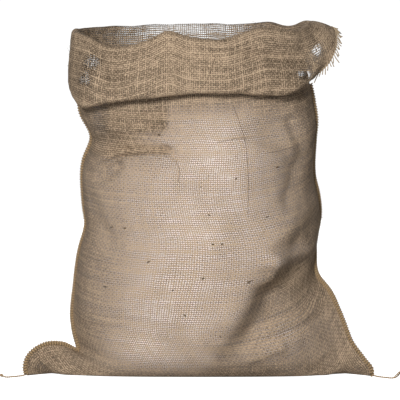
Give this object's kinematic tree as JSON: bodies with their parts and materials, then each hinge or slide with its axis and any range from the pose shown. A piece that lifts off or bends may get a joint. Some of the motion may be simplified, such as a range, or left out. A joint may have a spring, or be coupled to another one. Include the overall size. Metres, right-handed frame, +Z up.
{
  "type": "burlap sack",
  "caption": "Open burlap sack that stands on its own, its mouth rolled down into a cuff, with overcast side seams, splayed bottom corners and loose yarn ends.",
  "frame": {"origin": "on the flat underside where the sack rests, at the middle of its bottom fold", "axes": "+Z up through the open mouth, front faces -Y, left seam at -X"},
  "size_m": [0.5492, 0.2641, 0.4846],
  "materials": {
    "burlap": "open plain weave, matt, sheer where it is single",
    "seam_yarn": "thick twisted jute yarn, matt, slightly hairy",
    "fringe_yarn": "loose ends of the burlap's own yarn"
  },
  "bodies": {
    "root": {"sack_cloth": "burlap", "left_seam": "seam_yarn", "right_seam": "seam_yarn", "left_tail": "seam_yarn", "left_tail_knot": "seam_yarn", "right_tail": "seam_yarn", "raw_edge_fringe": "fringe_yarn"}
  },
  "joints": []
}
